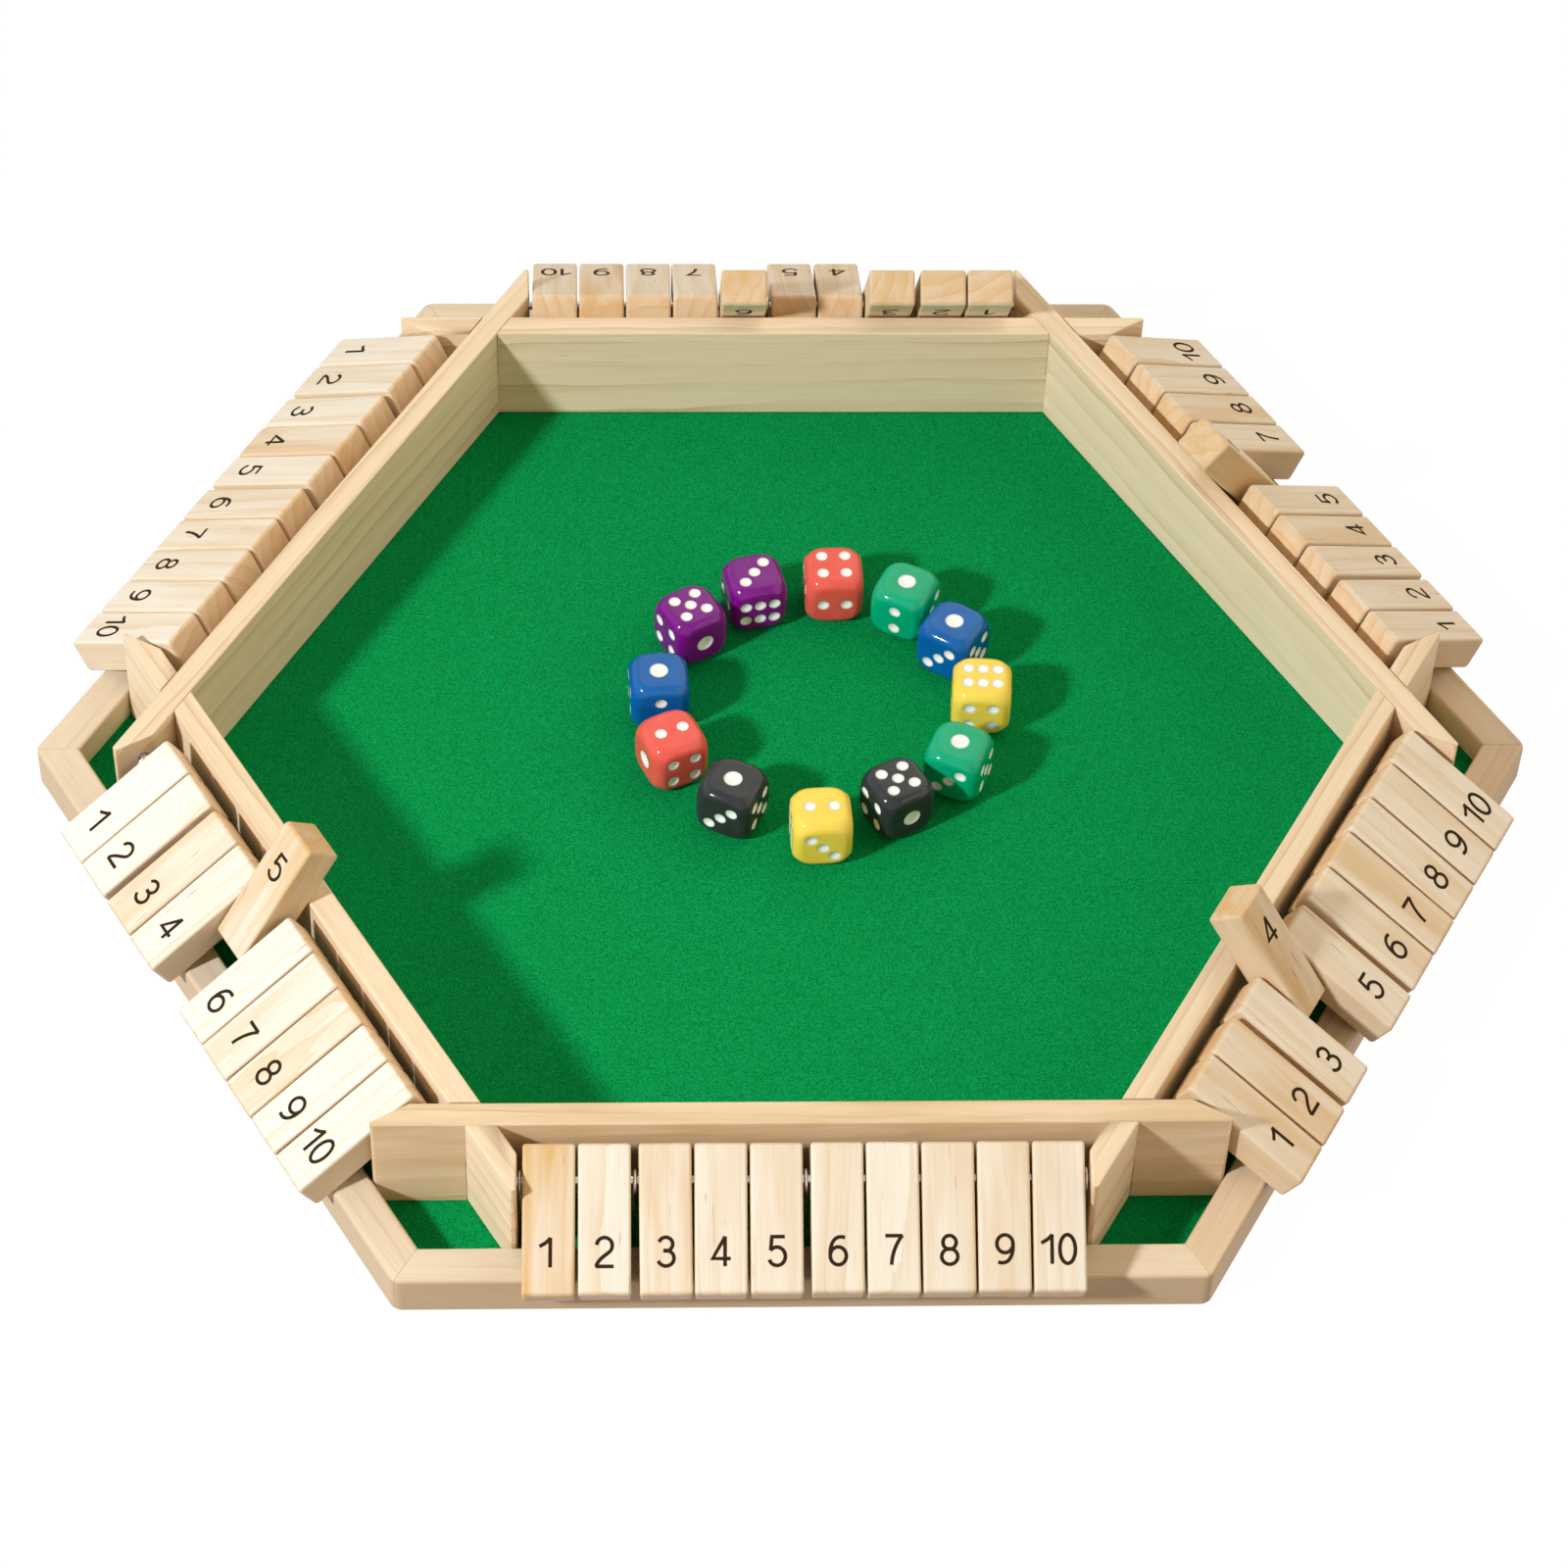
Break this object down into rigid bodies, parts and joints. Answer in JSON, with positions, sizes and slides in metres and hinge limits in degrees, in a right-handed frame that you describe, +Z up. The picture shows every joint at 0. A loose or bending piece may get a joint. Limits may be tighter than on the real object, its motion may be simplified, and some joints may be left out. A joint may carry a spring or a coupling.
{
  "type": "shut the box game",
  "caption": "Six-sided wooden shut the box game: felt floor, low rail, lapped walls, rows of numbered tiles that turn on steel rods, and loose dice.",
  "frame": {"origin": "middle of the underside of the base panel, on the table", "axes": "+X through a corner of the six-sided board, along its longest extent; the front row faces -Y; +Z up"},
  "size_m": [0.349, 0.319, 0.0471],
  "materials": {
    "tile_pine": "sanded unvarnished pale pine, eased edges",
    "rail_pine": "sanded warm pine rail",
    "wall_pine": "sanded pine board with straight grain",
    "plywood": "raw thin plywood",
    "felt": "green felt with a short nap",
    "steel": "bright drawn steel wire",
    "number_ink": "dark brown printed numbers",
    "die_purple": "glossy moulded plastic with white pips",
    "die_red": "glossy moulded plastic with white pips",
    "die_teal": "glossy moulded plastic with white pips",
    "die_blue": "glossy moulded plastic with white pips",
    "die_yellow": "glossy moulded plastic with white pips",
    "die_black": "glossy moulded plastic with white pips"
  },
  "bodies": {
    "board": {"base_panel": "plywood", "felt": "felt", "rail": "rail_pine", "wall_front": "wall_pine", "wall_front_right": "wall_pine", "wall_back_right": "wall_pine", "wall_back": "wall_pine", "wall_back_left": "wall_pine", "wall_front_left": "wall_pine", "rod_front": "steel"},
    "tile_front_1": {"tile_front_1": "tile_pine"},
    "tile_front_2": {"tile_front_2": "tile_pine"},
    "tile_front_3": {"tile_front_3": "tile_pine"},
    "tile_front_4": {"tile_front_4": "tile_pine"},
    "tile_front_5": {"tile_front_5": "tile_pine"},
    "tile_front_6": {"tile_front_6": "tile_pine"},
    "tile_front_7": {"tile_front_7": "tile_pine"},
    "tile_front_8": {"tile_front_8": "tile_pine"},
    "tile_front_9": {"tile_front_9": "tile_pine"},
    "tile_front_10": {"tile_front_10": "tile_pine"},
    "rod_front_right_with_tiles": {"rod_front_right_with_tiles": "tile_pine"},
    "tile_front_right_1": {"tile_front_right_1": "tile_pine"},
    "tile_front_right_2": {"tile_front_right_2": "tile_pine"},
    "tile_front_right_3": {"tile_front_right_3": "tile_pine"},
    "tile_front_right_4": {"tile_front_right_4": "tile_pine"},
    "tile_front_right_5": {"tile_front_right_5": "tile_pine"},
    "tile_front_right_6": {"tile_front_right_6": "tile_pine"},
    "tile_front_right_7": {"tile_front_right_7": "tile_pine"},
    "tile_front_right_8": {"tile_front_right_8": "tile_pine"},
    "tile_front_right_9": {"tile_front_right_9": "tile_pine"},
    "rod_back_right_with_tiles": {"rod_back_right_with_tiles": "tile_pine"},
    "tile_back_right_6": {"tile_back_right_6": "tile_pine"},
    "rod_back_with_tiles": {"rod_back_with_tiles": "tile_pine"},
    "tile_back_1": {"tile_back_1": "tile_pine"},
    "tile_back_2": {"tile_back_2": "tile_pine"},
    "tile_back_3": {"tile_back_3": "tile_pine"},
    "tile_back_6": {"tile_back_6": "tile_pine"},
    "rod_back_left_with_tiles": {"rod_back_left_with_tiles": "tile_pine"},
    "rod_front_left_with_tiles": {"rod_front_left_with_tiles": "tile_pine"},
    "tile_front_left_1": {"tile_front_left_1": "tile_pine"},
    "tile_front_left_2": {"tile_front_left_2": "tile_pine"},
    "tile_front_left_3": {"tile_front_left_3": "tile_pine"},
    "tile_front_left_4": {"tile_front_left_4": "tile_pine"},
    "tile_front_left_5": {"tile_front_left_5": "tile_pine"},
    "tile_front_left_6": {"tile_front_left_6": "tile_pine"},
    "tile_front_left_7": {"tile_front_left_7": "tile_pine"},
    "tile_front_left_8": {"tile_front_left_8": "tile_pine"},
    "tile_front_left_9": {"tile_front_left_9": "tile_pine"},
    "die_purple_a": {"die_purple_a": "die_purple"},
    "die_purple_b": {"die_purple_b": "die_purple"},
    "die_red_a": {"die_red_a": "die_red"},
    "die_teal_a": {"die_teal_a": "die_teal"},
    "die_blue_a": {"die_blue_a": "die_blue"},
    "die_yellow_a": {"die_yellow_a": "die_yellow"},
    "die_teal_b": {"die_teal_b": "die_teal"},
    "die_black_a": {"die_black_a": "die_black"},
    "die_yellow_b": {"die_yellow_b": "die_yellow"},
    "die_black_b": {"die_black_b": "die_black"},
    "die_red_b": {"die_red_b": "die_red"},
    "die_blue_b": {"die_blue_b": "die_blue"}
  },
  "joints": [
    {"name": "tile_front_1_hinge", "type": "hinge", "parent": "board", "child": "tile_front_1", "pos_m": [0, -0.1354, 0.0246], "axis": [-1, 0, 0], "range_deg": [0, 154.46]},
    {"name": "tile_front_2_hinge", "type": "hinge", "parent": "board", "child": "tile_front_2", "pos_m": [0, -0.1354, 0.0246], "axis": [-1, 0, 0], "range_deg": [0, 154.46]},
    {"name": "tile_front_3_hinge", "type": "hinge", "parent": "board", "child": "tile_front_3", "pos_m": [0, -0.1354, 0.0246], "axis": [-1, 0, 0], "range_deg": [0, 154.46]},
    {"name": "tile_front_4_hinge", "type": "hinge", "parent": "board", "child": "tile_front_4", "pos_m": [0, -0.1354, 0.0246], "axis": [-1, 0, 0], "range_deg": [0, 154.46]},
    {"name": "tile_front_5_hinge", "type": "hinge", "parent": "board", "child": "tile_front_5", "pos_m": [0, -0.1354, 0.0246], "axis": [-1, 0, 0], "range_deg": [0, 154.46]},
    {"name": "tile_front_6_hinge", "type": "hinge", "parent": "board", "child": "tile_front_6", "pos_m": [0, -0.1354, 0.0246], "axis": [-1, 0, 0], "range_deg": [0, 154.46]},
    {"name": "tile_front_7_hinge", "type": "hinge", "parent": "board", "child": "tile_front_7", "pos_m": [0, -0.1354, 0.0246], "axis": [-1, 0, 0], "range_deg": [0, 154.46]},
    {"name": "tile_front_8_hinge", "type": "hinge", "parent": "board", "child": "tile_front_8", "pos_m": [0, -0.1354, 0.0246], "axis": [-1, 0, 0], "range_deg": [0, 154.46]},
    {"name": "tile_front_9_hinge", "type": "hinge", "parent": "board", "child": "tile_front_9", "pos_m": [0, -0.1354, 0.0246], "axis": [-1, 0, 0], "range_deg": [0, 154.46]},
    {"name": "tile_front_10_hinge", "type": "hinge", "parent": "board", "child": "tile_front_10", "pos_m": [0, -0.1354, 0.0246], "axis": [-1, 0, 0], "range_deg": [0, 154.46]},
    {"name": "rod_front_right_with_tiles_hinge", "type": "hinge", "parent": "board", "child": "rod_front_right_with_tiles", "pos_m": [0.11726, -0.0677, 0.0246], "axis": [-0.5, -0.866, 0], "range_deg": [0, 154.46]},
    {"name": "tile_front_right_1_hinge", "type": "hinge", "parent": "board", "child": "tile_front_right_1", "pos_m": [0.11726, -0.0677, 0.0246], "axis": [-0.5, -0.866, 0], "range_deg": [0, 154.46]},
    {"name": "tile_front_right_2_hinge", "type": "hinge", "parent": "board", "child": "tile_front_right_2", "pos_m": [0.11726, -0.0677, 0.0246], "axis": [-0.5, -0.866, 0], "range_deg": [0, 154.46]},
    {"name": "tile_front_right_3_hinge", "type": "hinge", "parent": "board", "child": "tile_front_right_3", "pos_m": [0.11726, -0.0677, 0.0246], "axis": [-0.5, -0.866, 0], "range_deg": [0, 154.46]},
    {"name": "tile_front_right_4_hinge", "type": "hinge", "parent": "board", "child": "tile_front_right_4", "pos_m": [0.11726, -0.0677, 0.0246], "axis": [-0.5, -0.866, 0], "range_deg": [-154.46, 0]},
    {"name": "tile_front_right_5_hinge", "type": "hinge", "parent": "board", "child": "tile_front_right_5", "pos_m": [0.11726, -0.0677, 0.0246], "axis": [-0.5, -0.866, 0], "range_deg": [0, 154.46]},
    {"name": "tile_front_right_6_hinge", "type": "hinge", "parent": "board", "child": "tile_front_right_6", "pos_m": [0.11726, -0.0677, 0.0246], "axis": [-0.5, -0.866, 0], "range_deg": [0, 154.46]},
    {"name": "tile_front_right_7_hinge", "type": "hinge", "parent": "board", "child": "tile_front_right_7", "pos_m": [0.11726, -0.0677, 0.0246], "axis": [-0.5, -0.866, 0], "range_deg": [0, 154.46]},
    {"name": "tile_front_right_8_hinge", "type": "hinge", "parent": "board", "child": "tile_front_right_8", "pos_m": [0.11726, -0.0677, 0.0246], "axis": [-0.5, -0.866, 0], "range_deg": [0, 154.46]},
    {"name": "tile_front_right_9_hinge", "type": "hinge", "parent": "board", "child": "tile_front_right_9", "pos_m": [0.11726, -0.0677, 0.0246], "axis": [-0.5, -0.866, 0], "range_deg": [0, 154.46]},
    {"name": "rod_back_right_with_tiles_hinge", "type": "hinge", "parent": "board", "child": "rod_back_right_with_tiles", "pos_m": [0.11726, 0.0677, 0.0246], "axis": [0.5, -0.866, 0], "range_deg": [0, 154.46]},
    {"name": "tile_back_right_6_hinge", "type": "hinge", "parent": "board", "child": "tile_back_right_6", "pos_m": [0.11726, 0.0677, 0.0246], "axis": [0.5, -0.866, 0], "range_deg": [-154.46, 0]},
    {"name": "rod_back_with_tiles_hinge", "type": "hinge", "parent": "board", "child": "rod_back_with_tiles", "pos_m": [0, 0.1354, 0.0246], "axis": [1, 0, 0], "range_deg": [0, 154.46]},
    {"name": "tile_back_1_hinge", "type": "hinge", "parent": "board", "child": "tile_back_1", "pos_m": [0, 0.1354, 0.0246], "axis": [1, 0, 0], "range_deg": [-154.46, 0]},
    {"name": "tile_back_2_hinge", "type": "hinge", "parent": "board", "child": "tile_back_2", "pos_m": [0, 0.1354, 0.0246], "axis": [1, 0, 0], "range_deg": [-154.46, 0]},
    {"name": "tile_back_3_hinge", "type": "hinge", "parent": "board", "child": "tile_back_3", "pos_m": [0, 0.1354, 0.0246], "axis": [1, 0, 0], "range_deg": [-154.46, 0]},
    {"name": "tile_back_6_hinge", "type": "hinge", "parent": "board", "child": "tile_back_6", "pos_m": [0, 0.1354, 0.0246], "axis": [1, 0, 0], "range_deg": [-154.46, 0]},
    {"name": "rod_back_left_with_tiles_hinge", "type": "hinge", "parent": "board", "child": "rod_back_left_with_tiles", "pos_m": [-0.11726, 0.0677, 0.0246], "axis": [0.5, 0.866, 0], "range_deg": [0, 154.46]},
    {"name": "rod_front_left_with_tiles_hinge", "type": "hinge", "parent": "board", "child": "rod_front_left_with_tiles", "pos_m": [-0.11726, -0.0677, 0.0246], "axis": [-0.5, 0.866, 0], "range_deg": [0, 154.46]},
    {"name": "tile_front_left_1_hinge", "type": "hinge", "parent": "board", "child": "tile_front_left_1", "pos_m": [-0.11726, -0.0677, 0.0246], "axis": [-0.5, 0.866, 0], "range_deg": [0, 154.46]},
    {"name": "tile_front_left_2_hinge", "type": "hinge", "parent": "board", "child": "tile_front_left_2", "pos_m": [-0.11726, -0.0677, 0.0246], "axis": [-0.5, 0.866, 0], "range_deg": [0, 154.46]},
    {"name": "tile_front_left_3_hinge", "type": "hinge", "parent": "board", "child": "tile_front_left_3", "pos_m": [-0.11726, -0.0677, 0.0246], "axis": [-0.5, 0.866, 0], "range_deg": [0, 154.46]},
    {"name": "tile_front_left_4_hinge", "type": "hinge", "parent": "board", "child": "tile_front_left_4", "pos_m": [-0.11726, -0.0677, 0.0246], "axis": [-0.5, 0.866, 0], "range_deg": [0, 154.46]},
    {"name": "tile_front_left_5_hinge", "type": "hinge", "parent": "board", "child": "tile_front_left_5", "pos_m": [-0.11726, -0.0677, 0.0246], "axis": [-0.5, 0.866, 0], "range_deg": [-154.46, 0]},
    {"name": "tile_front_left_6_hinge", "type": "hinge", "parent": "board", "child": "tile_front_left_6", "pos_m": [-0.11726, -0.0677, 0.0246], "axis": [-0.5, 0.866, 0], "range_deg": [0, 154.46]},
    {"name": "tile_front_left_7_hinge", "type": "hinge", "parent": "board", "child": "tile_front_left_7", "pos_m": [-0.11726, -0.0677, 0.0246], "axis": [-0.5, 0.866, 0], "range_deg": [0, 154.46]},
    {"name": "tile_front_left_8_hinge", "type": "hinge", "parent": "board", "child": "tile_front_left_8", "pos_m": [-0.11726, -0.0677, 0.0246], "axis": [-0.5, 0.866, 0], "range_deg": [0, 154.46]},
    {"name": "tile_front_left_9_hinge", "type": "hinge", "parent": "board", "child": "tile_front_left_9", "pos_m": [-0.11726, -0.0677, 0.0246], "axis": [-0.5, 0.866, 0], "range_deg": [0, 154.46]},
    {"name": "die_purple_a_lift", "type": "slide", "parent": "board", "child": "die_purple_a", "axis": [0, 0, 1], "range_m": [0, 0.04]},
    {"name": "die_purple_b_lift", "type": "slide", "parent": "board", "child": "die_purple_b", "axis": [0, 0, 1], "range_m": [0, 0.04]},
    {"name": "die_red_a_lift", "type": "slide", "parent": "board", "child": "die_red_a", "axis": [0, 0, 1], "range_m": [0, 0.04]},
    {"name": "die_teal_a_lift", "type": "slide", "parent": "board", "child": "die_teal_a", "axis": [0, 0, 1], "range_m": [0, 0.04]},
    {"name": "die_blue_a_lift", "type": "slide", "parent": "board", "child": "die_blue_a", "axis": [0, 0, 1], "range_m": [0, 0.04]},
    {"name": "die_yellow_a_lift", "type": "slide", "parent": "board", "child": "die_yellow_a", "axis": [0, 0, 1], "range_m": [0, 0.04]},
    {"name": "die_teal_b_lift", "type": "slide", "parent": "board", "child": "die_teal_b", "axis": [0, 0, 1], "range_m": [0, 0.04]},
    {"name": "die_black_a_lift", "type": "slide", "parent": "board", "child": "die_black_a", "axis": [0, 0, 1], "range_m": [0, 0.04]},
    {"name": "die_yellow_b_lift", "type": "slide", "parent": "board", "child": "die_yellow_b", "axis": [0, 0, 1], "range_m": [0, 0.04]},
    {"name": "die_black_b_lift", "type": "slide", "parent": "board", "child": "die_black_b", "axis": [0, 0, 1], "range_m": [0, 0.04]},
    {"name": "die_red_b_lift", "type": "slide", "parent": "board", "child": "die_red_b", "axis": [0, 0, 1], "range_m": [0, 0.04]},
    {"name": "die_blue_b_lift", "type": "slide", "parent": "board", "child": "die_blue_b", "axis": [0, 0, 1], "range_m": [0, 0.04]}
  ]
}
